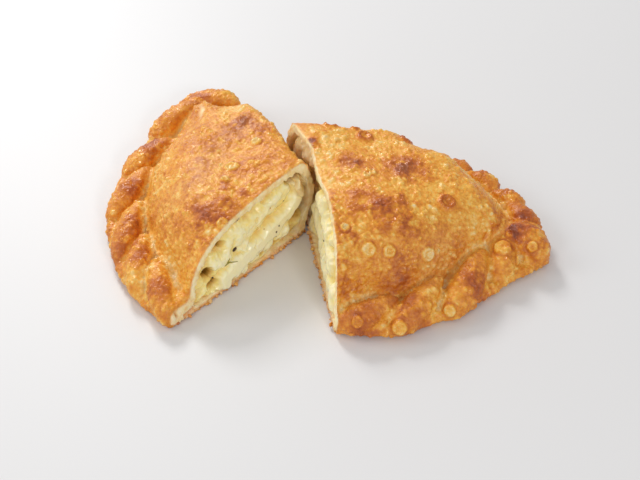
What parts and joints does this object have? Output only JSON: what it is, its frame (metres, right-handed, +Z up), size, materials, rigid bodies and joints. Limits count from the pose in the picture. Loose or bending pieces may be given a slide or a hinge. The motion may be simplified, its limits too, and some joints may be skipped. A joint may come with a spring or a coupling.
{
  "type": "empanada",
  "caption": "Half-moon fried pastry with a rope-crimped rim, cut across and swung open to show its melted cheese filling.",
  "frame": {"origin": "middle of the bounding box, on the ground that the pastry rests on", "axes": "+X to the right along the longest extent, +Y away from the open side of the cut, +Z up"},
  "size_m": [0.17, 0.1386, 0.0326],
  "materials": {
    "crust": "fried dough, golden brown, blistered, slightly oily",
    "cheese": "melted cheese, pale yellow, moist"
  },
  "bodies": {
    "root": {"crust_left": "crust", "filling_left": "cheese", "crust_right": "crust", "filling_right": "cheese"}
  },
  "joints": []
}
